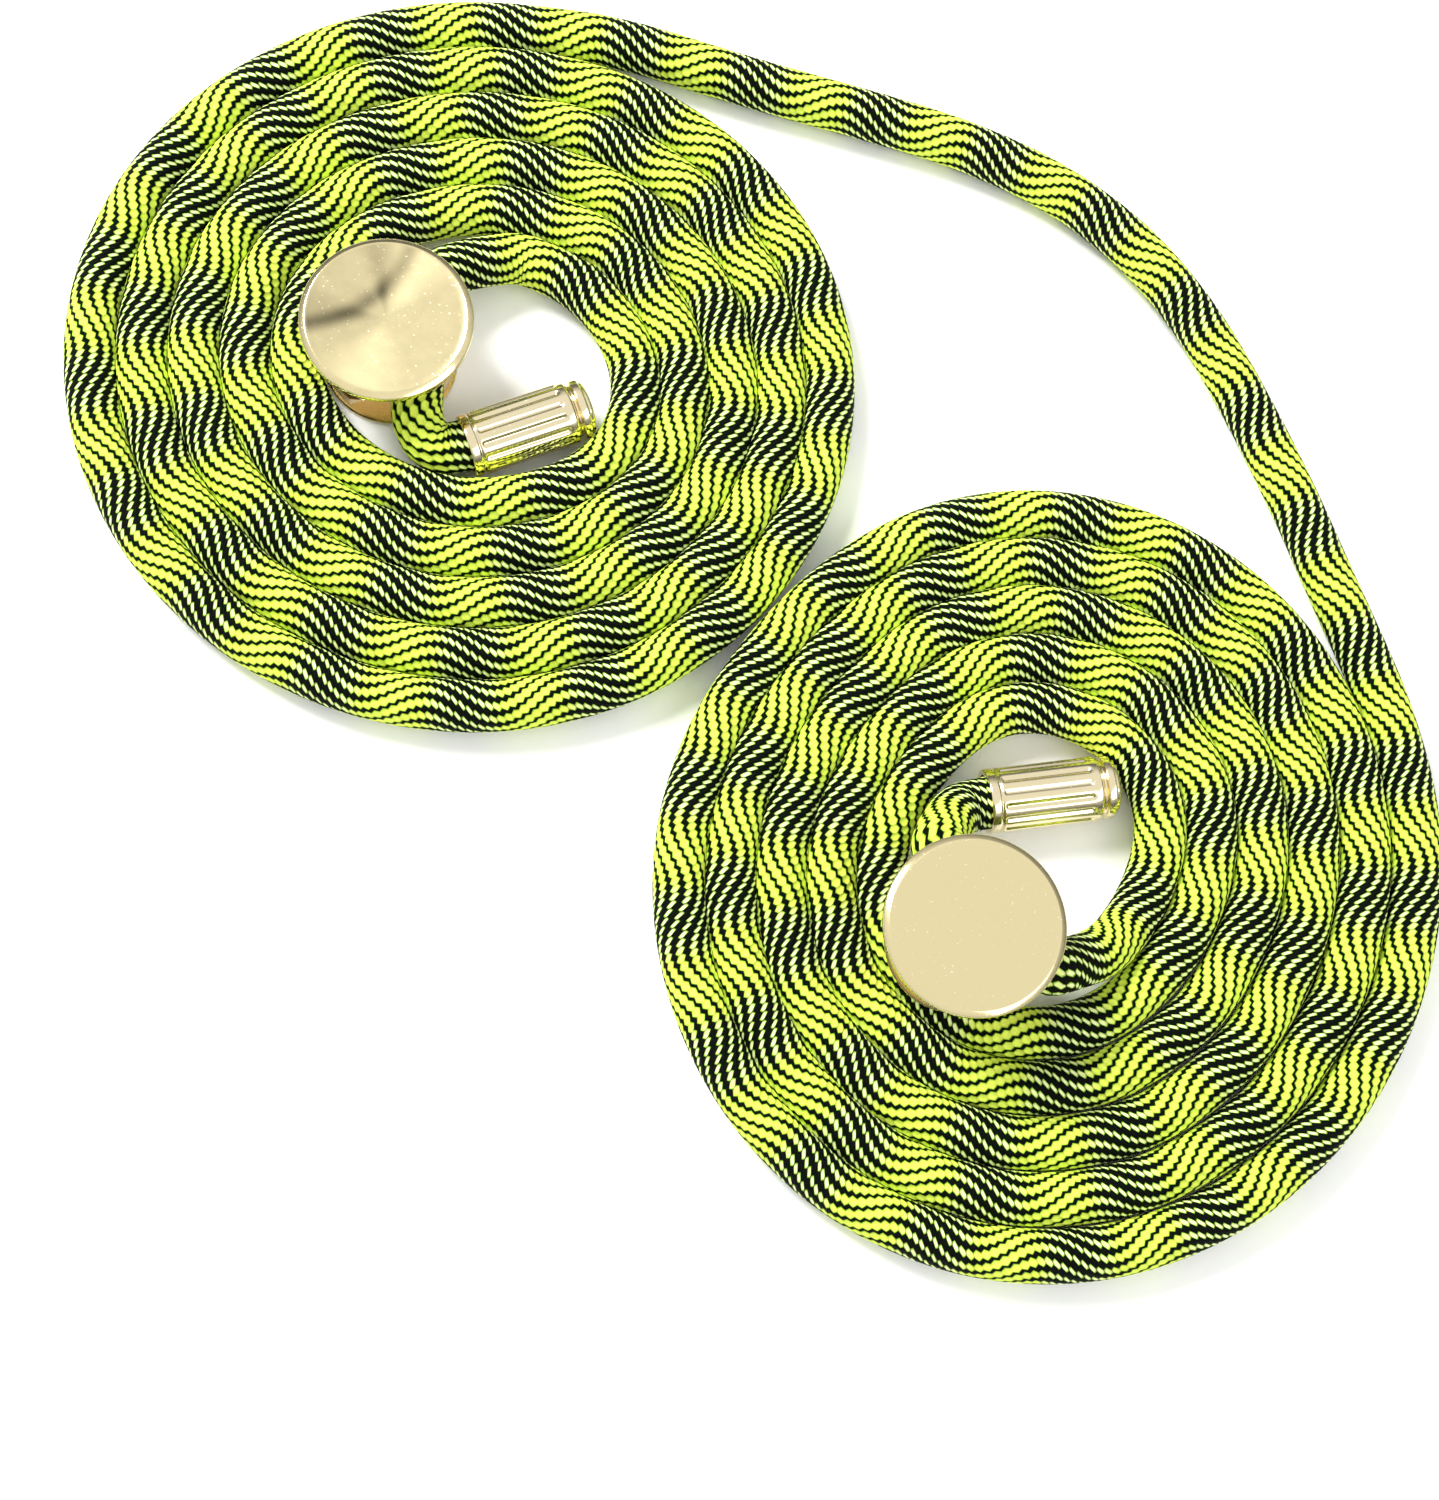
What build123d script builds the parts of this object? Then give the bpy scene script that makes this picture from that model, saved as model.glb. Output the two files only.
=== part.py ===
# Mat carry cord: one round braided cord laid as two flat coils, with two push-button
# slide locks on it and a fluted cap on each end. Millimetres, +Z up, the floor is z = 0.
from build123d import *
import os
from math import cos, exp, pi, radians, sin, tan

os.makedirs("parts", exist_ok=True)

# ---- driving dimensions -------------------------------------------------------------
cord_d = 8.0
cord_r = cord_d / 2

# slide lock, heights measured from the underside of its base plate
lock_d = 20.0            # drum that the channels run through
mouth_flat = 8.2         # flats across the drum at the channel mouths, from the centre
base_d = 20.8
base_t = 0.8
channel_r = 4.3
channel_offset = 4.8     # channel axis to lock axis, sideways
channel_z = 8.1
drum_top = 13.7
pocket = (6.4, 18.4)     # plunger pocket: along the channels, across them
plunger = (5.8, 17.8)
web_t = 1.0
foot_z = (3.0, 3.8)
bridge_z = (13.7, 14.6)
button_d = 26.4
button_z = (15.2, 17.2)
button_bevel = 0.9
button_boss_d = 9.0
press = 1.3              # button travel
spring_r = (2.9, 1.9)    # conical spring, at the base and at the foot
spring_wire = 0.5
screw_r = 0.8
screw_head_r = 1.4
screw_offset = 5.0       # the two button screws, sideways from the lock axis
screw_top = 16.2

# fluted end cap
cap_d = 10.0
cap_length = 20.8
cap_bore_r = 4.1
cap_bore_depth = 14.0
cap_sleeve_length = 17.6
flutes = 14
flute_r = 0.6
flute_z = (1.8, 16.2)
plug_spigot_r = 3.0
plug_collar_r = 4.85
plug_notches = 12

# places of the locks and the caps in plan, with their headings in degrees from +X
left_lock = {"at": (-50.0, 46.5), "z": 0.0, "heading": 88.0}
right_lock = {"at": (36.3, -46.5), "z": 8.2, "heading": 131.0}
left_cap = {"at": (-37.8, 30.7), "heading": 21.5}
right_cap = {"at": (42.4, -24.0), "heading": 8.0}
cap_z = cap_d / 2

# flat coils, clockwise from above, t in turns counted from the +X side
left_coil_from, left_coil_to = -0.17, 4.77
right_coil_from, right_coil_to = -0.06, 5.02
points_per_turn = 24


# ---- the cord's line ----------------------------------------------------------------
def swell(angle, middle, width):
    """1 at the middle angle, fading to nothing either side of it, over width degrees."""
    away = (angle - radians(middle) + pi) % (2 * pi) - pi
    return exp(-((away / radians(width)) ** 2))


def left_turn(t):
    """Centreline of the left coil: it widens by one cord a turn, is slightly oval, and its
    turns stand out where they pass round the lock and the cap, the inner ones the most."""
    angle = 2 * pi * t
    radius = 21.44 + 8.2 * t + 0.8 * cos(2 * angle)
    radius += (3.2 - 0.3 * max(0, t)) * swell(angle, 192, 48)
    radius += max(0, 2.4 - 0.6 * t) * swell(angle, 25, 38)
    return Vector(-35.4 + radius * cos(angle), 44.75 - radius * sin(angle), cord_r)


def right_turn(t):
    """Centreline of the right coil: it closes in by one cord a turn, is slightly oval, and
    is flattened where it lies against the left coil, its outer turns the most. The inner
    turns lean towards the left lock and stand out where the cap's end presses on them."""
    angle = 2 * pi * t
    radius = 60.35 - 8.05 * t - 1.76 * cos(2 * angle - radians(49))
    radius -= (1.9 - 0.25 * max(0, t)) * swell(angle, 222, 28)
    radius += 0.25 * max(0, t) * swell(angle, 342, 32)
    centre = (50.9 - 0.32 * t, -32.45 + 0.12 * t)
    return Vector(centre[0] + radius * cos(angle), centre[1] - radius * sin(angle), cord_r)


def heading_at(turn, t):
    step = 0.001
    return (turn(t + step) - turn(t - step)).normalized()


def channel_point(lock, along):
    """A point on the occupied channel's axis, `along` the heading from the lock's centre."""
    a = radians(lock["heading"])
    x = lock["at"][0] + channel_offset * sin(a) + along * cos(a)
    y = lock["at"][1] - channel_offset * cos(a) + along * sin(a)
    return Vector(x, y, lock["z"] + channel_z)


def cap_point(cap, depth):
    """A point on a cap's axis, `depth` inside its mouth."""
    a = radians(cap["heading"])
    return Vector(cap["at"][0] + depth * cos(a), cap["at"][1] + depth * sin(a), cap_z)


left_end_route = [
    cap_point(left_cap, 13.0),
    cap_point(left_cap, -1.7),
    Vector(-43.2, 30.4, 5.9),
    Vector(-45.0, 33.1, 7.2),
    channel_point(left_lock, -10.2),
    channel_point(left_lock, 10.8),
    Vector(-39.1, 60.8, 6.4),
    left_turn(left_coil_from) - heading_at(left_turn, left_coil_from) * 5,
    left_turn(left_coil_from),
]
link_route = [
    left_turn(left_coil_to),
    left_turn(left_coil_to) + heading_at(left_turn, left_coil_to) * 14,
    Vector(5.7, 96.8, cord_r),
    Vector(23.7, 92.3, cord_r),
    Vector(40.7, 87.7, cord_r),
    Vector(56.2, 81.0, cord_r),
    Vector(69.6, 71.0, cord_r),
    Vector(79.6, 58.2, cord_r),
    Vector(86.8, 44.0, cord_r),
    Vector(93.7, 28.2, cord_r),
    Vector(99.6, 12.2, cord_r),
    right_turn(right_coil_from) - heading_at(right_turn, right_coil_from) * 9,
    right_turn(right_coil_from),
]
right_end_route = [
    right_turn(right_coil_to),
    right_turn(right_coil_to) + heading_at(right_turn, right_coil_to) * 4,
    Vector(63.2, -43.5, 4.9),
    Vector(58.6, -47.7, 8.4),
    Vector(52.6, -50.0, 12.5),
    channel_point(right_lock, -11.3),
    channel_point(right_lock, 11.3),
    Vector(33.8, -31.2, 12.8),
    Vector(36.5, -27.2, 8.4),
    cap_point(right_cap, -3.2),
    cap_point(right_cap, 13.0),
]


def cord_tube(name, route):
    """Straight runs joined by tangent arcs, each arc as large as its two runs allow."""
    runs = [b - a for a, b in zip(route, route[1:])]
    radii = []
    for before, after in zip(runs, runs[1:]):
        half_turn = radians(before.get_angle(after)) / 2
        radii.append(0.45 * min(before.length, after.length) / tan(half_turn))
    with BuildPart() as tube:
        with BuildLine() as path:
            FilletPolyline(*route, radius=radii)
        with BuildSketch(Plane(origin=route[0], z_dir=runs[0])):
            Circle(cord_r)
        sweep()
    length = path.wire().length
    section = pi * cord_r ** 2
    print(name, "length %.1f" % length, "radii", " ".join("%.1f" % r for r in radii))
    print("  volume / (section x length) = %.4f" % (tube.part.volume / (section * length)))
    print("  sharpest turn %.0f deg" % max(a.get_angle(b) for a, b in zip(runs, runs[1:])))
    return tube, length


def coil_plate(turn, start, end, grows):
    """The coil's outer shape: a flat plate as thick as the cord, bounded by the outer side
    of its outermost turn and the inner side of its innermost turn. Each boundary closes
    on a straight step, where the cord joins the coil square on."""

    def side(t, offset):
        forward = heading_at(turn, t)
        return turn(t) + Vector(-forward.Y, forward.X, 0) * offset - Vector(0, 0, cord_r)

    def beside(cut, near, offset):
        """Where the boundary one turn away crosses the line square across the cord."""
        low, high = near - 0.05, near + 0.05
        for _ in range(40):
            middle = (low + high) / 2
            if (side(middle, offset) - turn(cut)).dot(heading_at(turn, cut)) < 0:
                low = middle
            else:
                high = middle
        return middle

    def boundary(t_from, t_to, offset):
        steps = points_per_turn * 2
        return [side(t_from + (t_to - t_from) * i / steps, offset) for i in range(steps + 1)]

    if grows:
        outer_from, outer_to = beside(end, end - 1, cord_r), end
        inner_from, inner_to = start, beside(start, start + 1, -cord_r)
    else:
        outer_from, outer_to = start, beside(start, start + 1, cord_r)
        inner_from, inner_to = beside(end, end - 1, -cord_r), end

    with BuildPart() as plate:
        with BuildSketch():
            with BuildLine():
                rim = Spline(*boundary(outer_from, outer_to, cord_r))
                Line(rim @ 1, rim @ 0)
            make_face()
            with BuildLine():
                hole = Spline(*boundary(inner_from, inner_to, -cord_r))
                Line(hole @ 1, hole @ 0)
            make_face(mode=Mode.SUBTRACT)
        extrude(amount=cord_d)
    return plate


def coil_length(turn, start, end):
    steps = 2000
    places = [turn(start + (end - start) * i / steps) for i in range(steps + 1)]
    return sum((b - a).length for a, b in zip(places, places[1:]))


# ---- the slide lock, built at the origin with its channels along +X -----------------
def lock_base():
    """Bottom plate with a wider lip, a spigot that fits the drum's pocket and a well for
    the spring."""
    with BuildPart() as base:
        Cylinder(base_d / 2, base_t, align=(Align.CENTER, Align.CENTER, Align.MIN))
        chamfer(base.edges().filter_by(GeomType.CIRCLE), 0.2)
        with BuildSketch(Plane.XY.offset(base_t)):
            Rectangle(pocket[0] - 0.1, pocket[1] - 0.1)
            Rectangle(pocket[0] - 0.1, 2 * spring_r[0] + 1.4, mode=Mode.SUBTRACT)
        extrude(amount=0.6)
    return base


def lock_drum():
    """Drum with two channels side by side and a pocket across them for the plunger."""
    height = drum_top - base_t
    with BuildPart() as drum:
        with BuildSketch(Plane.XY.offset(base_t)):
            Circle(lock_d / 2)
            Rectangle(2 * mouth_flat, lock_d, mode=Mode.INTERSECT)
        extrude(amount=height)
        chamfer(drum.edges().group_by(Axis.Z)[-1], 0.5)
        with BuildSketch(Plane.YZ.offset(-lock_d)):
            with Locations((-channel_offset, channel_z), (channel_offset, channel_z)):
                Circle(channel_r)
        extrude(amount=2 * lock_d, mode=Mode.SUBTRACT)
        with BuildSketch(Plane.XY.offset(base_t)):
            Rectangle(*pocket)
        extrude(amount=height, mode=Mode.SUBTRACT)
    return drum


def screw_shape(gap):
    """Countersunk screw, head down, or with a gap the hole that it goes through."""
    head_r, shank_r, low, high = screw_head_r + gap, screw_r + gap, bridge_z[0], screw_top
    with BuildPart() as screw:
        with BuildSketch(Plane.XZ):
            with BuildLine():
                Polyline((0, low), (head_r, low), (shank_r, low + 0.6), (shank_r, high),
                         (0, high), close=True)
            make_face()
        revolve(axis=Axis.Z)
    return screw.part


screw_places = Locations((0, -screw_offset), (0, screw_offset))


def lock_plunger():
    """Lifter that clamps both cords: foot under them, web between them, bridge on top."""
    with BuildPart() as lifter:
        with BuildSketch(Plane.XY.offset(foot_z[0])):
            Rectangle(*plunger)
        extrude(amount=foot_z[1] - foot_z[0])
        with BuildSketch(Plane.XY.offset(foot_z[1])):
            Rectangle(plunger[0], web_t)
        extrude(amount=bridge_z[0] - foot_z[1])
        with BuildSketch(Plane.XY.offset(bridge_z[0])):
            Rectangle(*plunger)
        extrude(amount=bridge_z[1] - bridge_z[0])
        hole = screw_shape(0.05)
        with screw_places:
            add(hole, mode=Mode.SUBTRACT)
    return lifter


def lock_button():
    """Round button plate with a bevelled rim, and a boss that stands on the bridge."""
    with BuildPart() as button:
        with BuildSketch(Plane.XY.offset(button_z[0])):
            Circle(button_d / 2)
        extrude(amount=button_z[1] - button_z[0])
        chamfer(button.edges().group_by(Axis.Z)[-1], button_bevel / 2, button_bevel)
        chamfer(button.edges().group_by(Axis.Z)[0], 0.4)
        with BuildSketch(Plane.XY.offset(bridge_z[1])):
            SlotOverall(plunger[1] - 1.4, plunger[0] - 0.8, rotation=90)
        extrude(amount=button_z[0] - bridge_z[1])
        hole = screw_shape(0.03)
        with screw_places:
            add(hole, mode=Mode.SUBTRACT)
    return button


def lock_screws():
    screw = screw_shape(0)
    with BuildPart() as screws:
        with screw_places:
            add(screw)
    return screws


def lock_spring():
    """Conical spring, from the base plate to the underside of the foot."""
    low, high = base_t + spring_wire / 2, foot_z[0] - spring_wire / 2
    turns = 3
    steps = 12 * turns
    places = []
    for i in range(steps + 1):
        angle, share = 2 * pi * turns * i / steps, i / steps
        radius = spring_r[0] + (spring_r[1] - spring_r[0]) * share
        places.append((radius * cos(angle), radius * sin(angle), low + (high - low) * share))
    with BuildPart() as spring:
        with BuildLine() as coil:
            Spline(*places)
        with BuildSketch(Plane(origin=coil.line @ 0, z_dir=coil.line % 0)):
            Circle(spring_wire / 2)
        sweep(is_frenet=True)
    return spring


# ---- the end cap, built at the origin with its mouth facing -Z ----------------------
def cap_sleeve():
    """Fluted sleeve: plain rim at the mouth, a deep bore for the cord, a hole behind it."""
    with BuildPart() as sleeve:
        Cylinder(cap_d / 2, cap_sleeve_length, align=(Align.CENTER, Align.CENTER, Align.MIN))
        chamfer(sleeve.edges().group_by(Axis.Z)[0], 0.3)
        chamfer(sleeve.edges().group_by(Axis.Z)[-1], 0.5)
        with BuildSketch():
            Circle(cap_bore_r)
        extrude(amount=cap_bore_depth, mode=Mode.SUBTRACT)
        with BuildSketch():
            Circle(plug_spigot_r)
        extrude(amount=cap_sleeve_length, mode=Mode.SUBTRACT)
        with BuildSketch(Plane.XY.offset(flute_z[0])):
            with PolarLocations(cap_d / 2 + 0.25, flutes):
                Circle(flute_r)
        extrude(amount=flute_z[1] - flute_z[0], mode=Mode.SUBTRACT)
    return sleeve


def cap_plug():
    """Turned end plug: spigot in the sleeve, neck, notched collar, neck, domed end."""
    seat, dome = cap_sleeve_length, 1.0
    dome_r = (4.3 ** 2 + dome ** 2) / (2 * dome)
    waist = cap_length - dome_r + (dome_r ** 2 - 2.15 ** 2) ** 0.5
    with BuildPart() as plug:
        with BuildSketch(Plane.XZ):
            with BuildLine():
                Polyline((0, cap_bore_depth + 0.2), (plug_spigot_r, cap_bore_depth + 0.2),
                         (plug_spigot_r, seat), (4.3, seat), (4.3, seat + 0.5),
                         (plug_collar_r, seat + 0.7), (plug_collar_r, seat + 1.7),
                         (4.3, seat + 1.9), (4.3, cap_length - dome))
                ThreePointArc((4.3, cap_length - dome), (2.15, waist), (0, cap_length))
                Line((0, cap_length), (0, cap_bore_depth + 0.2))
            make_face()
        revolve(axis=Axis.Z)
        with BuildSketch(Plane.XY.offset(seat + 0.9)):
            with PolarLocations(plug_collar_r, plug_notches):
                Rectangle(0.5, 0.7)
        extrude(amount=0.6, mode=Mode.SUBTRACT)
    return plug


# ---- put everything in place and write it out ---------------------------------------
def save(solid, name, place=Location()):
    piece = solid.part.moved(place)
    piece.label = name
    export_step(piece, "parts/" + name + ".step")


left_end_cord, left_end_length = cord_tube("left_end_cord", left_end_route)
link_cord, link_length = cord_tube("link_cord", link_route)
right_end_cord, right_end_length = cord_tube("right_end_cord", right_end_route)
left_coil = coil_plate(left_turn, left_coil_from, left_coil_to, grows=True)
right_coil = coil_plate(right_turn, right_coil_from, right_coil_to, grows=False)

save(left_end_cord, "left_end_cord")
save(left_coil, "left_coil")
save(link_cord, "link_cord")
save(right_coil, "right_coil")
save(right_end_cord, "right_end_cord")

for side, lock in (("left", left_lock), ("right", right_lock)):
    place = Location((lock["at"][0], lock["at"][1], lock["z"]), (0, 0, lock["heading"]))
    save(lock_base(), side + "_lock_base", place)
    save(lock_drum(), side + "_lock_drum", place)
    save(lock_spring(), side + "_lock_spring", place)
    save(lock_plunger(), side + "_lock_plunger", place)
    save(lock_screws(), side + "_button_screws", place)
    save(lock_button(), side + "_button", place)

for side, cap in (("left", left_cap), ("right", right_cap)):
    turned = Location((cap["at"][0], cap["at"][1], cap_z), (0, 0, cap["heading"]))
    place = turned * Location((0, 0, 0), (0, 90, 0))
    save(cap_sleeve(), side + "_cap_sleeve", place)
    save(cap_plug(), side + "_cap_plug", place)

coils = (coil_length(left_turn, left_coil_from, left_coil_to),
         coil_length(right_turn, right_coil_from, right_coil_to))
print("coil lengths %.0f %.0f" % coils)
print("whole cord %.0f" % (left_end_length + link_length + right_end_length + sum(coils)))
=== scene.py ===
from math import cos, exp, pi, radians, sin, tau

import bpy
import numpy as np
from mathutils import Matrix, Vector


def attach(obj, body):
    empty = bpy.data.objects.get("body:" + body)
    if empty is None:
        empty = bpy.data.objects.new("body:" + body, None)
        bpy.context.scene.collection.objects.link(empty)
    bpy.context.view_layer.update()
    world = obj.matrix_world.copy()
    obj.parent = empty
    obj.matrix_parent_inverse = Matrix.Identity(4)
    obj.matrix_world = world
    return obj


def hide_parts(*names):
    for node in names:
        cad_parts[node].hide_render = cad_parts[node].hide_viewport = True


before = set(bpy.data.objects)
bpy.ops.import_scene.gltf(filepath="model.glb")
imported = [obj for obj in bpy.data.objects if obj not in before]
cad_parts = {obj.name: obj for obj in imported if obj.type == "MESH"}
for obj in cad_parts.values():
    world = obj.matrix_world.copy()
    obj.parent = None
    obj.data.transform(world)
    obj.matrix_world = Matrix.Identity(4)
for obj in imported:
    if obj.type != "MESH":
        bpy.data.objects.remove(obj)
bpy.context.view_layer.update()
print("frame loaded")

mm = 0.001  # pieces are worked out in millimetres and drawn in metres

# the camera looks down and a little away, tilt degrees off the plumb line
camera = {"lookAt": (2.2, -15.55, 0.0), "tilt": 15.0, "turn": 20.0, "distance": 354.0, "lens": 55.2}


def aimCamera(values):
    tilt, turn = radians(values["tilt"]), radians(values["turn"])
    look = Vector((sin(tilt) * sin(turn), sin(tilt) * cos(turn), -cos(tilt)))
    right = look.cross(Vector((0, 1, 0))).normalized()
    up = right.cross(look)
    data = bpy.data.cameras.new("mainCamera")
    data.lens = values["lens"]
    data.sensor_width = 36
    data.clip_start = 0.01
    thing = bpy.data.objects.new("mainCamera", data)
    bpy.context.scene.collection.objects.link(thing)
    spot = (Vector(values["lookAt"]) - look * values["distance"]) * mm
    basis = Matrix((right, up, -look)).transposed().to_4x4()
    thing.matrix_world = Matrix.Translation(spot) @ basis
    bpy.context.scene.camera = thing


aimCamera(camera)

# where the locks and caps lie, headings in degrees from +X
leftLock = {"at": (-50.0, 46.5), "z": 0.0, "heading": 88.0}
rightLock = {"at": (36.3, -46.5), "z": 8.2, "heading": 131.0}
leftCap = {"at": (-37.8, 30.7), "z": 5.0, "heading": 21.5}
rightCap = {"at": (42.4, -24.0), "z": 5.0, "heading": 8.0}
channel = {"aside": 4.8, "up": 8.1}  # the channel that holds the cord, in its lock

# each coil winds clockwise; turns count from the +X side
leftCoil = {
    "from": -0.17, "to": 4.77,
    "centre": (-35.4, 44.75), "drift": (0.0, 0.0),  # drift is per turn
    "radius": 21.44, "perTurn": 8.2,
    "oval": 0.8, "ovalAt": 0.0,
    "swells": [
        {"out": 3.2, "perTurn": -0.3, "after": 0, "middle": 192, "width": 48},
        {"out": 2.4, "perTurn": -0.6, "after": -1, "middle": 25, "width": 38},
    ],
}
rightCoil = {
    "from": -0.06, "to": 5.02,
    "centre": (50.9, -32.45), "drift": (-0.32, 0.12),
    "radius": 60.35, "perTurn": -8.05,
    "oval": -1.76, "ovalAt": 49.0,
    "swells": [
        {"out": -1.9, "perTurn": 0.25, "after": 0, "middle": 222, "width": 28},
        {"out": 0.0, "perTurn": 0.25, "after": 0, "middle": 342, "width": 32},
    ],
}
cord = {
    "diameter": 8.0,
    "pointsPerTurn": 36,
    "ringStep": 1.0,
    "ringPoints": 24,
    "capDepth": 13.0,  # how far each end goes into its cap
    "capLead": {"left": 1.7, "right": 3.2},  # straight out of each cap's mouth
    "lockRun": {"left": (-10.2, 10.8), "right": (-11.3, 11.3)},  # straight through each lock
    "coilLead": {"leftIn": 5, "leftOut": 14, "rightIn": 9, "rightOut": 4},  # straight at coil ends
    "leftBend": [(-43.2, 30.4, 5.9), (-45.0, 33.1, 7.2)],
    "leftFall": [(-39.1, 60.8, 6.4)],
    "link": [(5.7, 96.8, 4.0), (23.7, 92.3, 4.0), (40.7, 87.7, 4.0), (56.2, 81.0, 4.0),
             (69.6, 71.0, 4.0), (79.6, 58.2, 4.0), (86.8, 44.0, 4.0), (93.7, 28.2, 4.0),
             (99.6, 12.2, 4.0)],
    "rightRise": [(63.2, -43.5, 4.9), (58.6, -47.7, 8.4), (52.6, -50.0, 12.5)],
    "rightFall": [(33.8, -31.2, 12.8), (36.5, -27.2, 8.4)],
}


# 1 at the middle angle, falling to nothing on both sides as e to the minus square
def swell(angle, middle, width):
    away = (angle - radians(middle) + pi) % tau - pi
    return exp(-((away / radians(width)) ** 2))


# radius = start + a cord's width per turn + oval x cos(twice the angle) + its swells;
# a swell that starts outwards never turns inwards
def coilPoint(coil, t):
    angle = tau * t
    radius = coil["radius"] + coil["perTurn"] * t
    radius += coil["oval"] * cos(2 * angle - radians(coil["ovalAt"]))
    for bulge in coil["swells"]:
        size = bulge["out"] + bulge["perTurn"] * max(bulge["after"], t)
        size = max(0, size) if bulge["out"] > 0 else size
        radius += size * swell(angle, bulge["middle"], bulge["width"])
    x, y = (c + d * t for c, d in zip(coil["centre"], coil["drift"]))
    return np.array([x + radius * cos(angle), y - radius * sin(angle), cord["diameter"] / 2])


def headingAt(coil, t):
    step = coilPoint(coil, t + 0.001) - coilPoint(coil, t - 0.001)
    return step / np.linalg.norm(step)


def coilPoints(coil, perTurn):
    start, end = coil["from"], coil["to"]
    count = int((end - start) * perTurn)
    return [coilPoint(coil, start + (end - start) * i / count) for i in range(count + 1)]


# along the lock's heading, beside its axis on the right
def channelPoint(lock, along):
    a = radians(lock["heading"])
    x = lock["at"][0] + channel["aside"] * sin(a) + along * cos(a)
    y = lock["at"][1] - channel["aside"] * cos(a) + along * sin(a)
    return np.array([x, y, lock["z"] + channel["up"]])


def capPoint(cap, depth):
    a = radians(cap["heading"])
    return np.array([cap["at"][0] + depth * cos(a), cap["at"][1] + depth * sin(a), cap["z"]])


# a short way straight out of the coil at turn t, backwards if it is less than 0
def coilLead(coil, t, length):
    return [coilPoint(coil, t) + headingAt(coil, t) * length]


# the same points as the solid's: left cap, lock, coil, arc, right coil, lock, cap
def cordPoints(values):
    deep, out, run, lead = (values[k] for k in ("capDepth", "capLead", "lockRun", "coilLead"))
    points = [capPoint(leftCap, deep), capPoint(leftCap, -out["left"])] + values["leftBend"]
    points += [channelPoint(leftLock, along) for along in run["left"]] + values["leftFall"]
    points += coilLead(leftCoil, leftCoil["from"], -lead["leftIn"])
    points += coilPoints(leftCoil, values["pointsPerTurn"])
    points += coilLead(leftCoil, leftCoil["to"], lead["leftOut"]) + values["link"]
    points += coilLead(rightCoil, rightCoil["from"], -lead["rightIn"])
    points += coilPoints(rightCoil, values["pointsPerTurn"])
    points += coilLead(rightCoil, rightCoil["to"], lead["rightOut"]) + values["rightRise"]
    points += [channelPoint(rightLock, along) for along in run["right"]] + values["rightFall"]
    points += [capPoint(rightCap, -out["right"]), capPoint(rightCap, deep)]
    return np.array([list(p) for p in points]) * mm


# points read off one order-3 curve over the control points
def nurbsLine(points):
    data = bpy.data.curves.new("cordLine", "CURVE")
    data.dimensions = "3D"
    data.resolution_u = 12
    spline = data.splines.new("NURBS")
    spline.points.add(len(points) - 1)
    spline.points.foreach_set("co", np.hstack([points, np.ones((len(points), 1))]).ravel())
    spline.order_u = 3
    spline.use_endpoint_u = True
    thing = bpy.data.objects.new("cordLine", data)
    mesh = bpy.data.meshes.new_from_object(thing)
    line = np.empty(len(mesh.vertices) * 3)
    mesh.vertices.foreach_get("co", line)
    bpy.data.meshes.remove(mesh)
    bpy.data.objects.remove(thing)
    bpy.data.curves.remove(data)
    return line.reshape(-1, 3)


# the same line with its points evenly spaced, and the distance of each along it
def evenly(line, step):
    gaps = np.linalg.norm(np.diff(line, axis=0), axis=1)
    along = np.concatenate([[0], np.cumsum(gaps)])
    count = int(along[-1] / step) + 1
    places = np.linspace(0, along[-1], count)
    return np.column_stack([np.interp(places, along, line[:, k]) for k in range(3)]), places


# quads over rows x columns points, closed round the columns
def gridFaces(rows, columns):
    i, j = np.meshgrid(np.arange(rows - 1), np.arange(columns), indexing="ij")
    k = (j + 1) % columns
    quads = [i * columns + j, i * columns + k, (i + 1) * columns + k, (i + 1) * columns + j]
    return np.stack(quads, axis=-1).reshape(-1, 4)


def makeObject(name, points, faces, smooth=True):
    mesh = bpy.data.meshes.new(name)
    mesh.from_pydata(points.tolist(), [], faces)
    mesh.update()
    if smooth:
        mesh.polygons.foreach_set("use_smooth", np.ones(len(mesh.polygons), dtype=bool))
    thing = bpy.data.objects.new(name, mesh)
    bpy.context.scene.collection.objects.link(thing)
    return thing


# rings square to the line: point + radius x (side x cos + up x sin), no twist against the floor
def ringPath(line, radius, ringPoints):
    forward = np.gradient(line, axis=0)
    forward /= np.linalg.norm(forward, axis=1)[:, None]
    side = np.cross(forward, (0, 0, 1.0))
    side /= np.linalg.norm(side, axis=1)[:, None]
    up = np.cross(side, forward)
    angle = np.linspace(0, tau, ringPoints, endpoint=False)
    ring = side[:, None] * np.cos(angle)[:, None] + up[:, None] * np.sin(angle)[:, None]
    return line[:, None] + ring * radius


# rings carried along the line; its own UV is turns round the cord and millimetres along it
def makeCord(values):
    line, along = evenly(nurbsLine(cordPoints(values)), values["ringStep"] * mm)
    columns = values["ringPoints"]
    rings = ringPath(line, values["diameter"] / 2 * mm, columns)
    faces = gridFaces(len(line), columns).tolist()
    ends = [list(range(columns))[::-1], [(len(line) - 1) * columns + j for j in range(columns)]]
    thing = makeObject("cord", rings.reshape(-1, 3), faces + ends)
    layer = thing.data.uv_layers.new(name="braid")
    i, j = np.meshgrid(np.arange(len(line) - 1), np.arange(columns), indexing="ij")
    u = np.stack([j, j + 1, j + 1, j], axis=-1) / columns
    v = np.stack([along[i], along[i], along[i + 1], along[i + 1]], axis=-1) / mm
    uv = np.zeros((len(thing.data.loops), 2))
    uv[: u.size, 0], uv[: v.size, 1] = u.ravel(), v.ravel()
    layer.data.foreach_set("uv", uv.ravel())
    return thing, line, along[-1]


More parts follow.
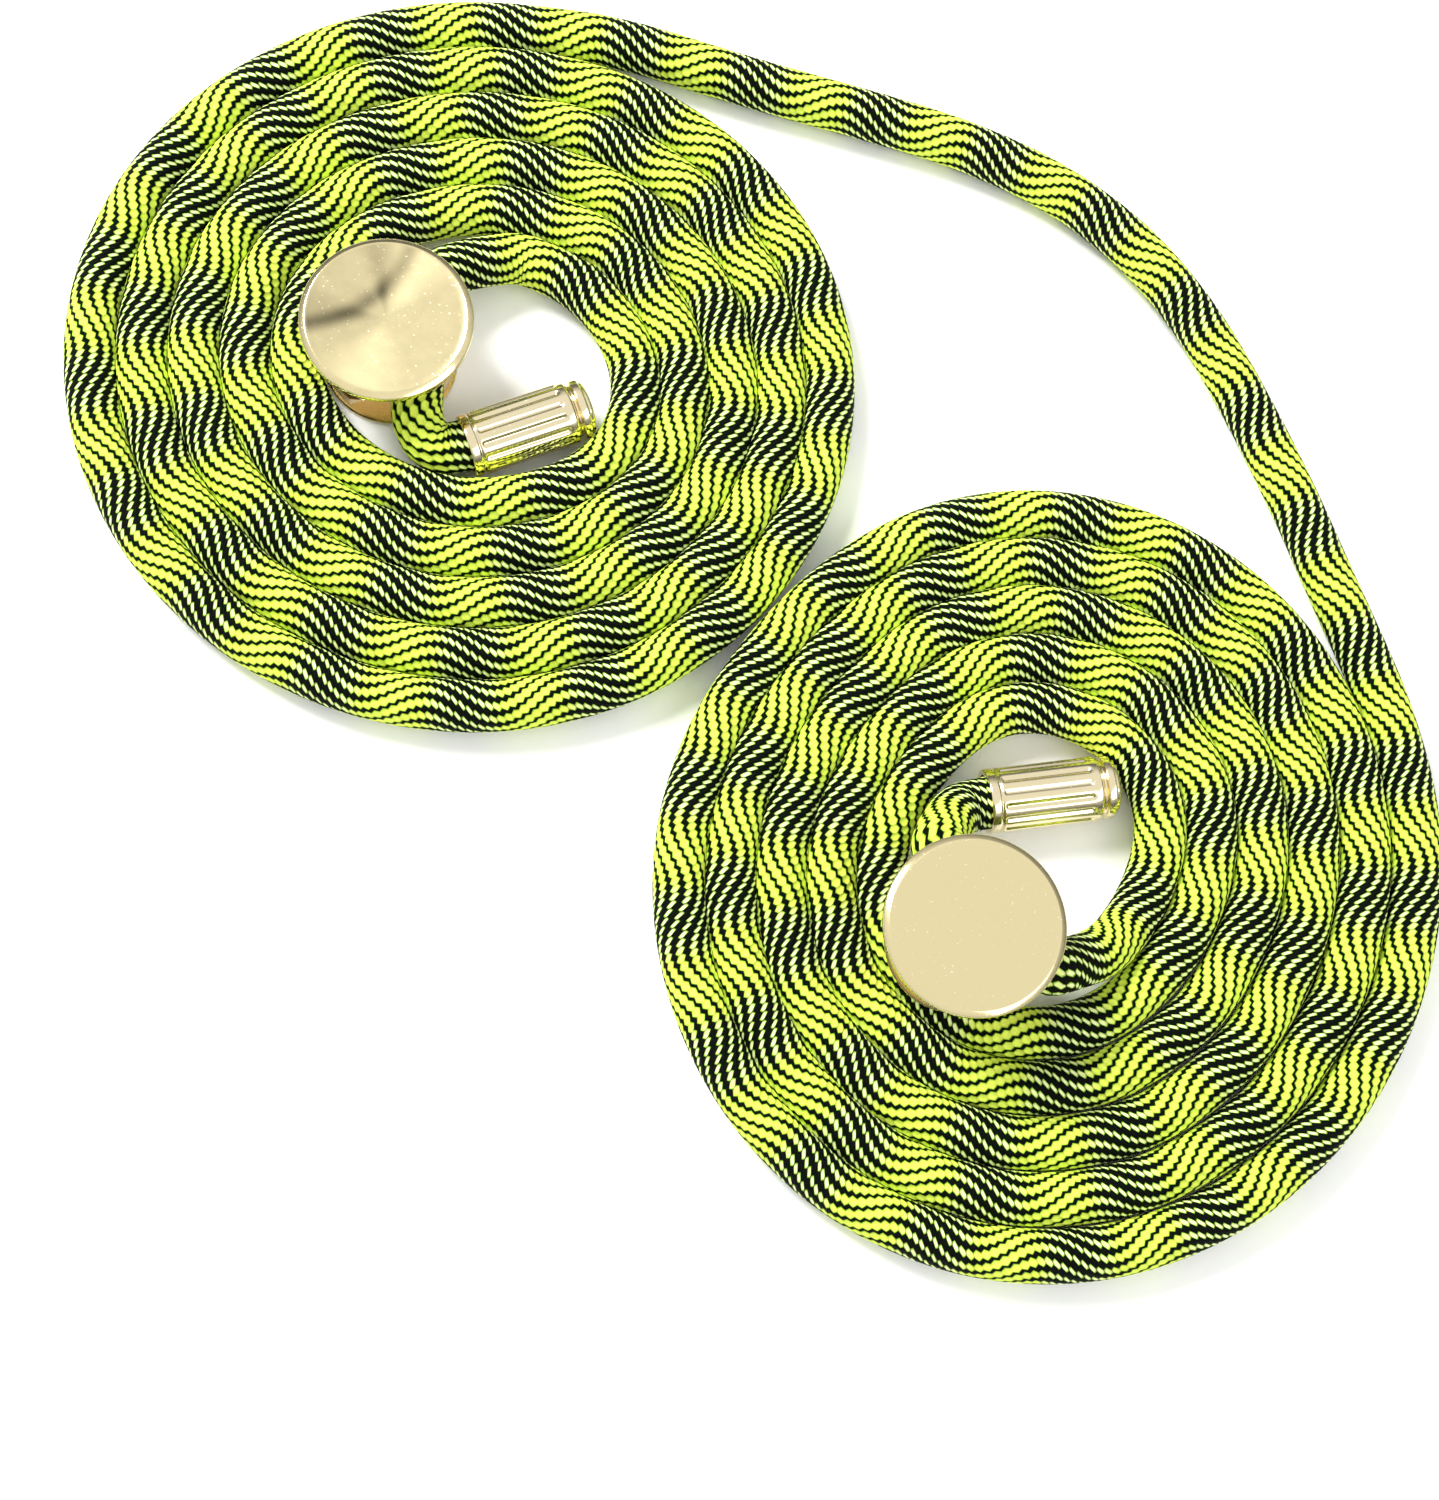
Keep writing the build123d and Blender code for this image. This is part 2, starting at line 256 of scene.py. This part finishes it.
cordObject, cordLine, cordLength = makeCord(cord)
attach(cordObject, "cord")
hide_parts("left_end_cord", "left_coil", "link_cord", "right_coil", "right_end_cord")
print("cord made, %.3f m" % cordLength)


# adds nodes to one tree; plain numbers go straight on the sockets
class Graph:
    def __init__(self, tree):
        self.tree = tree

    def feed(self, socket, value):
        if isinstance(value, bpy.types.NodeSocket):
            self.tree.links.new(value, socket)
        else:
            socket.default_value = value

    def put(self, kind, settings=None, **sockets):
        node = self.tree.nodes.new(kind)
        for key, value in (settings or {}).items():
            setattr(node, key, value)
        for key, value in sockets.items():  # i0 and i1 are the first two inputs
            self.feed(node.inputs[int(key[1:]) if key[1:].isdigit() else key], value)
        return node

    def math(self, operation, a, b=None, c=None):
        node = self.put("ShaderNodeMath", {"operation": operation})
        for socket, value in zip(node.inputs, (a, b, c)):
            if value is not None:
                self.feed(socket, value)
        return node.outputs[0]

    def mix(self, share, a, b, blend="MIX"):
        node = self.put("ShaderNodeMix", {"data_type": "RGBA", "blend_type": blend})
        self.feed(node.inputs["Factor"], share)
        self.feed(node.inputs[6], a)
        self.feed(node.inputs[7], b)
        return node.outputs[2]

    # 0 below low, 1 above high, smooth between
    def step(self, value, low, high):
        node = self.put("ShaderNodeMapRange", {"interpolation_type": "SMOOTHSTEP"})
        for key, v in (("Value", value), ("From Min", low), ("From Max", high)):
            self.feed(node.inputs[key], v)
        return node.outputs[0]

    def noise(self, place, scale, detail):
        return self.put("ShaderNodeTexNoise", Vector=place, Scale=scale, Detail=detail).outputs[0]

    def coordinate(self, kind):
        return self.put("ShaderNodeTexCoord").outputs[kind]


def newGroup(name, inputs, outputs):
    tree = bpy.data.node_groups.new(name, "ShaderNodeTree")
    for kind, sockets in (("INPUT", inputs), ("OUTPUT", outputs)):
        for label, socketType in sockets:
            tree.interface.new_socket(label, in_out=kind, socket_type="NodeSocket" + socketType)
    graph = Graph(tree)
    return graph, tree.nodes.new("NodeGroupInput").outputs, tree.nodes.new("NodeGroupOutput").inputs


def newMaterial(name):
    material = bpy.data.materials.new(name)
    material.use_nodes = True
    return material, Graph(material.node_tree), material.node_tree.nodes["Principled BSDF"]


def useGroup(graph, group, **sockets):
    node = graph.tree.nodes.new("ShaderNodeGroup")
    node.node_tree = group
    for key, value in sockets.items():
        graph.feed(node.inputs[key], value)
    return node.outputs


# Stripe number = stripes x turn round the cord + swing x sin(distance / period). While the
# stripes swing one way they are mostly dark with pale dots, while they swing back they are
# mostly yellow with thin dark lines, toothed at their edges by the stitches.
braid = {
    "stripes": 12.0,
    "period": 20.7, "start": 10.5, "swing": 1.08,
    "stitch": 1.14, "lean": 0.9,
    "halfWidth": 0.365,  # of the light part of a stripe, in stripes
    "darkLoss": 0.20, "endLoss": 0.46,  # what it loses in dark stretches and at stitch ends
    "edge": 0.035, "shadow": 0.16,
    "gap": (0.50, 0.60), "gapGrowth": 0.16, "gapDepth": 0.8,  # dark gaps between stitches
    "paleFrom": 0.35, "paleTo": 0.9,
    "crown": 3.2, "knot": 3.0,  # how round a strand and a stitch stand up
    "yellow": (0.76, 0.90, 0.11, 1),
    "lime": (0.26, 0.50, 0.02, 1),
    "cream": (0.86, 0.92, 0.46, 1),
    "dark": (0.0008, 0.002, 0.0006, 1),
    "fibreScale": 2600.0, "fibreTint": 0.4, "fibreLow": 0.82, "fibreHeight": 0.12,
    "roughness": 0.75, "specular": 0.08, "bump": 0.9, "bumpDepth": 0.00035,
}


def braidGroup(values):
    made = [("Color", "Color"), ("Height", "Float")]
    g, inp, out = newGroup("braidPattern", [("UV", "Vector")], made)
    around, along = g.put("ShaderNodeSeparateXYZ", Vector=inp["UV"]).outputs[:2]
    theta = g.math("MULTIPLY", g.math("SUBTRACT", along, values["start"]), tau / values["period"])
    wave = g.math("MULTIPLY", g.math("SINE", theta), values["swing"])
    stripe = g.math("MULTIPLY_ADD", around, values["stripes"], wave)
    part = g.math("SUBTRACT", g.math("FRACT", stripe), 0.5)
    inside = g.math("ABSOLUTE", part)
    # each stitch leans across its stripe, and rows sit half a stitch apart
    shift = g.math("MULTIPLY", g.math("MODULO", g.math("FLOOR", stripe), 2.0), 0.5)
    lean = g.math("MULTIPLY_ADD", part, values["lean"], shift)
    stitch = g.math("FRACT", g.math("ADD", g.math("DIVIDE", along, values["stitch"]), lean))
    bead = g.math("ABSOLUTE", g.math("SUBTRACT", stitch, 0.5))
    darkness = g.math("MULTIPLY_ADD", g.math("COSINE", theta), 0.5, 0.5)
    half = g.math("MULTIPLY_ADD", darkness, -values["darkLoss"], values["halfWidth"])
    ends = g.math("MULTIPLY_ADD", bead, -values["endLoss"], values["endLoss"] / 4)
    within = g.math("SUBTRACT", g.math("ADD", half, ends), inside)
    light = g.step(within, -values["edge"], values["edge"])
    gap = g.step(g.math("MULTIPLY_ADD", darkness, values["gapGrowth"], bead), *values["gap"])
    dim = g.math("SUBTRACT", 1.0, g.math("MULTIPLY", gap, values["gapDepth"]))
    light = g.math("MULTIPLY", light, dim)
    pale = g.step(darkness, values["paleFrom"], values["paleTo"])
    hue = g.mix(pale, values["yellow"], values["cream"])
    hue = g.mix(g.step(within, 0.0, values["shadow"]), values["lime"], hue)
    g.feed(out["Color"], g.mix(light, values["dark"], hue))
    across = g.math("MULTIPLY_ADD", g.math("MULTIPLY", inside, inside), -values["crown"], 1.0)
    knot = g.math("MULTIPLY_ADD", g.math("MULTIPLY", bead, bead), -values["knot"], 1.0)
    g.feed(out["Height"], g.math("MULTIPLY", across, knot))
    return g.tree


def braidMaterial(values):
    material, g, shader = newMaterial("braidMaterial")
    uv = g.put("ShaderNodeUVMap", {"uv_map": "braid"}).outputs[0]
    pattern = useGroup(g, braidGroup(values), UV=uv)
    fibres = g.noise(g.coordinate("Object"), values["fibreScale"], 2.0)
    tint = g.math("MULTIPLY_ADD", fibres, values["fibreTint"], values["fibreLow"])
    g.feed(shader.inputs["Base Color"], g.mix(1.0, pattern["Color"], tint, "MULTIPLY"))
    shader.inputs["Roughness"].default_value = values["roughness"]
    shader.inputs["Specular IOR Level"].default_value = values["specular"]
    height = g.math("MULTIPLY_ADD", fibres, values["fibreHeight"], pattern["Height"])
    bump = g.put("ShaderNodeBump", Height=height, Strength=values["bump"], Distance=values["bumpDepth"])
    g.feed(shader.inputs["Normal"], bump.outputs[0])
    return material


cordObject.data.materials.append(braidMaterial(braid))
print("braid made")

# pale plated brass, faintly uneven, with pale specks and fine scratches
plating = {
    "cloudScale": 140.0, "cloudHeight": 0.6,
    "speckScale": 2200.0, "speck": (0.70, 0.76),
    "speckColor": (1.0, 0.97, 0.85, 1), "speckShare": 0.35, "speckRoughness": 0.2,
    "scratchScale": 300.0, "scratchTwist": 14.0, "scratchHeight": 0.05,
    "bump": 0.25, "bumpDepth": 0.0001,
}
finishes = {
    "drum": {"color": (0.74, 0.56, 0.27, 1), "roughness": 0.22, "unevenness": 0.05},
    "button": {"color": (0.86, 0.74, 0.42, 1), "roughness": 0.14, "unevenness": 0.03},
    "cap": {"color": (0.88, 0.77, 0.50, 1), "roughness": 0.13, "unevenness": 0.04},
    # a darker, rougher copy of the plated gold for the plunger inside the drum: painted shade
    "paintedShadeInner": {"color": (0.45, 0.35, 0.17, 1), "roughness": 0.38, "unevenness": 0.06},
    "screw": {"color": (0.50, 0.47, 0.42, 1), "roughness": 0.30, "unevenness": 0.05},
    "spring": {"color": (0.55, 0.55, 0.54, 1), "roughness": 0.25, "unevenness": 0.02},
}
# the left button's face, with painted reflections in its colour: light and dark rays and a dark bow, in
# millimetres from its middle
paintedReflectionFace = {
    "reflectionRays": [  # middle and width in degrees, strength
        (100, 12, -0.30), (176, 16, -0.30), (140, 26, -0.10),
        (60, 20, 0.34), (250, 34, 0.34), (215, 26, -0.12),
    ],
    "reflectionRayReach": 1.6,
    # a painted dark reflection in a bow across the upper left: a ring's edge round a point outside the
    # face
    "reflectionBow": {"round": (-15.4, 18.2), "radius": 20.0, "width": 2.3, "strength": -0.48},
    "edge": (11.8, 12.4), "heart": 4.0,
    "grainScale": 420.0, "grain": 0.24, "grainLow": 0.88,
}


def platingGroup(values):
    finish = [("Color", "Color"), ("Roughness", "Float")]
    given, made = finish + [("Unevenness", "Float")], finish + [("Height", "Float")]
    g, inp, out = newGroup("plating", given, made)
    place = g.coordinate("Object")
    cloud = g.noise(place, values["cloudScale"], 4.0)
    specks = g.step(g.noise(place, values["speckScale"], 1.0), *values["speck"])
    scratch = g.put("ShaderNodeTexWave", Vector=place, Scale=values["scratchScale"],
                    Distortion=values["scratchTwist"], Detail=2.0).outputs[1]
    rough = g.math("MULTIPLY_ADD", g.math("SUBTRACT", cloud, 0.5), inp["Unevenness"], inp["Roughness"])
    g.feed(out["Roughness"], g.math("MULTIPLY_ADD", specks, values["speckRoughness"], rough))
    share = g.math("MULTIPLY", specks, values["speckShare"])
    g.feed(out["Color"], g.mix(share, inp["Color"], values["speckColor"]))
    lines = g.math("MULTIPLY", g.step(scratch, 0.9, 1.0), values["scratchHeight"])
    g.feed(out["Height"], g.math("MULTIPLY_ADD", cloud, values["cloudHeight"], lines))
    return g.tree


platingTree = platingGroup(plating)


def goldMaterial(name, values):
    material, g, shader = newMaterial(name + "Material")
    finish = useGroup(g, platingTree, Color=values["color"], Roughness=values["roughness"],
                      Unevenness=values["unevenness"])
    g.feed(shader.inputs["Base Color"], finish["Color"])
    g.feed(shader.inputs["Roughness"], finish["Roughness"])
    shader.inputs["Metallic"].default_value = 1.0
    bump = g.put("ShaderNodeBump", Height=finish["Height"], Strength=plating["bump"],
                 Distance=plating["bumpDepth"])
    g.feed(shader.inputs["Normal"], bump.outputs[0])
    return material


# plated gold times painted reflections, light and dark rays round the middle and a dark bow, and a
# grain, only inside the bevelled rim
def paintedReflectionMaterial(values, face, lock):
    material = goldMaterial("paintedReflectionButton", values)
    g = Graph(material.node_tree)
    shader = material.node_tree.nodes["Principled BSDF"]
    centre = (lock["at"][0] * mm, lock["at"][1] * mm, 0.0)
    place = g.put("ShaderNodeVectorMath", {"operation": "SUBTRACT"},
                  i0=g.coordinate("Object"), i1=centre)
    x, y = g.put("ShaderNodeSeparateXYZ", Vector=place.outputs[0]).outputs[:2]
    angle = g.math("ARCTAN2", y, x)
    total = 1.0
    # painted reflection: light and dark rays round the middle
    for middle, width, strength in face["reflectionRays"]:
        away = g.math("SUBTRACT", angle, radians(middle))
        away = g.math("ABSOLUTE", g.math("WRAP", away, pi, -pi))
        near = g.math("SUBTRACT", 1.0, g.step(away, 0.0, radians(width) * face["reflectionRayReach"]))
        total = g.math("MULTIPLY_ADD", near, strength, total)
    flat = g.put("ShaderNodeCombineXYZ", X=x, Y=y).outputs[0]
    # painted reflection: a dark bow across the upper left
    reflectionBow = face["reflectionBow"]
    middle = (reflectionBow["round"][0] * mm, reflectionBow["round"][1] * mm, 0.0)
    away = g.put("ShaderNodeVectorMath", {"operation": "DISTANCE"}, i0=flat, i1=middle).outputs[1]
    away = g.math("ABSOLUTE", g.math("SUBTRACT", away, reflectionBow["radius"] * mm))
    near = g.math("SUBTRACT", 1.0, g.step(away, 0.0, reflectionBow["width"] * mm))
    total = g.math("MULTIPLY_ADD", near, reflectionBow["strength"], total)
    radius = g.put("ShaderNodeVectorMath", {"operation": "LENGTH"}, i0=flat).outputs[1]
    rim = g.step(radius, face["edge"][0] * mm, face["edge"][1] * mm)
    onFace = g.math("MULTIPLY", g.math("SUBTRACT", 1.0, rim), g.step(radius, 0.0, face["heart"] * mm))
    total = g.math("MULTIPLY_ADD", g.math("SUBTRACT", total, 1.0), onFace, 1.0)
    grain = g.noise(place.outputs[0], face["grainScale"], 3.0)
    total = g.math("MULTIPLY", total, g.math("MULTIPLY_ADD", grain, face["grain"], face["grainLow"]))
    plain = shader.inputs["Base Color"].links[0].from_socket
    g.feed(shader.inputs["Base Color"], g.mix(1.0, plain, total, "MULTIPLY"))
    return material


goldMaterials = {key: goldMaterial(key, values) for key, values in finishes.items()}
# the left button's gold, with painted reflections in its colour
goldMaterials["paintedReflectionGold"] = paintedReflectionMaterial(finishes["button"], paintedReflectionFace, leftLock)
print("gold made")


# a profile of (radius, height) turned about the piece's own +Z: radius x cos, radius x sin,
# height; outward changes the radius by angle, for flutes and notches
def turned(name, profile, segments, place, outward=None):
    rz = np.array(profile, dtype=float)
    angle = np.linspace(0, tau, segments, endpoint=False)
    radius = np.repeat(rz[:, :1], segments, axis=1)
    if outward is not None:
        radius = outward(radius, rz[:, 1:2], angle[None, :])
    points = np.stack([radius * np.cos(angle), radius * np.sin(angle),
                       np.repeat(rz[:, 1:2], segments, axis=1)], axis=-1).reshape(-1, 3) * mm
    matrix = np.array(place)
    points = points @ matrix[:3, :3].T + matrix[:3, 3]
    return makeObject(name, points, gridFaces(len(rz), segments).tolist())


def piecePlace(values):
    spot = Vector((*values["at"], values["z"])) * mm
    return Matrix.Translation(spot) @ Matrix.Rotation(radians(values["heading"]), 4, "Z")


# the profile with each inner corner a short arc, (1-s)^2 start + 2s(1-s) corner + s^2 end
def rounded(corners, radius, steps=5):
    done = [np.array(corners[0], dtype=float)]
    for before, here, after in zip(corners, corners[1:], corners[2:]):
        before, here, after = (np.array(p, dtype=float) for p in (before, here, after))
        a, b = before - here, after - here
        reach = min(radius, np.linalg.norm(a) * 0.45, np.linalg.norm(b) * 0.45)
        start = here + a / np.linalg.norm(a) * reach
        end = here + b / np.linalg.norm(b) * reach
        for share in np.linspace(0, 1, steps):
            done.append((1 - share) ** 2 * start + 2 * share * (1 - share) * here + share ** 2 * end)
    done.append(np.array(corners[-1], dtype=float))
    return done


def finishPiece(thing, look, body, node):
    thing.data.materials.append(goldMaterials[look])
    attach(thing, body)
    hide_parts(node)


# flat round plate with a boss below, a bright bevelled rim and a shallow dish on top
button = {
    "radius": 13.2, "low": 15.2, "high": 17.2,
    "bossRadius": 7.4, "bossLow": 14.6,
    "bevel": 0.9, "edge": 0.4, "softness": 0.16, "faceDrop": 0.1,
    "leftDish": 0.5, "rightDish": 0.02, "dishRings": 14, "segments": 160,
}
axisGap = 0.01  # a turned piece closes this near its axis


def makeButton(side, lock, dish, look):
    r, low, high, bevel = (button[k] for k in ("radius", "low", "high", "bevel"))
    boss, bossLow, edge = button["bossRadius"], button["bossLow"], button["edge"]
    face = high - button["faceDrop"]
    corners = [(axisGap, bossLow), (boss, bossLow), (boss, low), (r - edge, low), (r, low + edge),
               (r, high - 0.5), (r - bevel, high - 0.02), (r - bevel - 0.25, face)]
    profile = rounded(corners, button["softness"])
    flat, rings = r - bevel - 0.3, button["dishRings"]
    profile += [(flat * (1 - k / rings), face - dish * (k / rings)) for k in range(1, rings)]
    profile.append((axisGap, face - dish))
    thing = turned(side + "ButtonPlate", profile, button["segments"], piecePlace(lock))
    finishPiece(thing, look, side + "_push", side + "_button")


# the left button takes the gold with painted reflections
makeButton("left", leftLock, button["leftDish"], "paintedReflectionGold")
makeButton("right", rightLock, button["rightDish"], "button")
print("buttons made")

# fluted sleeve with a plain rim and a groove, then a notched collar and a domed end
capShape = {
    "radius": 5.0, "bore": 4.1, "sleeve": 17.6, "length": 20.8,
    "flutes": 14, "fluteDepth": 0.36, "fluteFrom": 1.9, "fluteTo": 16.1, "fluteFade": 0.5,
    "notches": 12, "notchDepth": 0.16, "notchAt": 18.8, "notchBand": 0.35,
    "collar": 4.85, "neck": 4.3, "dome": 4.2, "domeHeight": 0.95,
}


# radius less a scallop at each flute, fading out at both ends of the flutes
def fluted(radius, height, angle):
    fade = capShape["fluteFade"]
    rise = np.clip((height - capShape["fluteFrom"]) / fade, 0, 1)
    fall = np.clip((capShape["fluteTo"] - height) / fade, 0, 1)
    scallop = np.abs(np.cos(angle * capShape["flutes"] / 2)) ** 6
    return radius - capShape["fluteDepth"] * scallop * (radius > 4.8) * rise * fall


# radius less a small step at each notch, only in the collar's band
def notched(radius, height, angle):
    band = np.exp(-(((height - capShape["notchAt"]) / capShape["notchBand"]) ** 4))
    return radius - capShape["notchDepth"] * band * (np.cos(angle * capShape["notches"]) > 0.75)


def makeCap(side, cap):
    r, bore, sleeve, length = (capShape[k] for k in ("radius", "bore", "sleeve", "length"))
    collar, neck, dome = (capShape[k] for k in ("collar", "neck", "dome"))
    place = piecePlace(cap) @ Matrix.Rotation(pi / 2, 4, "Y")
    corners = [(bore, cord["capDepth"]), (bore, 0.0), (r - 0.1, 0.0), (r, 0.3), (r, 1.3),
               (r - 0.22, 1.6), (r, 1.9)]
    corners += [(r, z) for z in np.arange(2.2, 16.2, 0.35)]
    corners += [(r, 16.4), (r, sleeve - 0.5), (r - 0.4, sleeve), (3.4, sleeve)]
    shell = turned(side + "CapSleeve", rounded(corners, 0.1, 3), 168, place, fluted)
    top = length - capShape["domeHeight"]
    corners = [(3.0, sleeve - 1), (3.0, sleeve + 0.05), (neck, sleeve + 0.1), (neck, sleeve + 0.45),
               (collar, sleeve + 0.65), (collar, sleeve + 1.75),
               (dome + 0.05, sleeve + 1.95), (dome, top)]
    end = rounded(corners, 0.12, 3)
    end += [(dome * cos(a), top + capShape["domeHeight"] * sin(a))
            for a in np.linspace(0.15, pi / 2 - 0.01, 12)]
    plug = turned(side + "CapPlug", end, 144, place, notched)
    finishPiece(shell, "cap", "cord", side + "_cap_sleeve")
    finishPiece(plug, "cap", "cord", side + "_cap_plug")


makeCap("left", leftCap)
makeCap("right", rightCap)
print("caps made")

# pieces shown as their own solids, by the end of their names, and what each is plated with
# the plunger takes the darker gold, which is painted shade
solidLooks = {"_lock_base": "drum", "_lock_drum": "drum", "_lock_plunger": "paintedShadeInner",
              "_button_screws": "screw", "_lock_spring": "spring"}


def dressSolids(looks):
    for name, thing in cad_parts.items():
        for ending, look in looks.items():
            if name.endswith(ending):
                thing.data.materials.clear()
                thing.data.materials.append(goldMaterials[look])


dressSolids(solidLooks)
print("solids dressed")

room = {
    "floor": (0.97, 0.97, 0.965, 1), "floorSize": 2.0, "floorBelow": 0.0001, "floorRoughness": 0.8,
    "sky": 0.95, "horizon": 0.16, "skyFrom": 0.1, "skyTo": 0.75,
}
lights = {
    "key": {"spot": (-0.55, 0.50, 0.75), "size": (0.35, 0.35), "power": 15.0},
    "fill": {"spot": (0.6, -0.5, 0.8), "size": (0.8, 0.5), "power": 4.0},
}


def makeFloor(values):
    s = values["floorSize"]
    points = np.array([(-s, -s, 0), (s, -s, 0), (s, s, 0), (-s, s, 0)])
    thing = makeObject("floor", points - (0, 0, values["floorBelow"]), [[0, 1, 2, 3]], smooth=False)
    material, _, shader = newMaterial("floorMaterial")
    shader.inputs["Base Color"].default_value = values["floor"]
    shader.inputs["Roughness"].default_value = values["floorRoughness"]
    thing.data.materials.append(material)


# dim grey at the horizon, near white overhead, smooth between
def makeWorld(values):
    world = bpy.data.worlds.new("studio")
    world.use_nodes = True
    bpy.context.scene.world = world
    g = Graph(world.node_tree)
    background = world.node_tree.nodes["Background"]
    height = g.put("ShaderNodeSeparateXYZ", Vector=g.coordinate("Generated")).outputs[2]
    share = g.step(height, values["skyFrom"], values["skyTo"])
    low, high = ((values[k],) * 3 + (1,) for k in ("horizon", "sky"))
    g.feed(background.inputs["Color"], g.mix(share, low, high))
    background.inputs["Strength"].default_value = 1.0


# plain tones, so that a white ground stays white and near-black stays black
def toneScale():
    view = bpy.context.scene.view_settings
    view.view_transform = "Standard"
    view.look = "None"


# an area light at its spot, aimed at the origin
def areaLight(name, values):
    data = bpy.data.lights.new(name, "AREA")
    data.shape = "RECTANGLE"
    data.size, data.size_y = values["size"]
    data.energy = values["power"]
    thing = bpy.data.objects.new(name, data)
    bpy.context.scene.collection.objects.link(thing)
    look = -Vector(values["spot"])
    aim = look.to_track_quat("-Z", "Y").to_matrix().to_4x4()
    thing.matrix_world = Matrix.Translation(values["spot"]) @ aim


makeFloor(room)
makeWorld(room)
toneScale()
for name, values in lights.items():
    areaLight(name, values)
print("floor and light made")
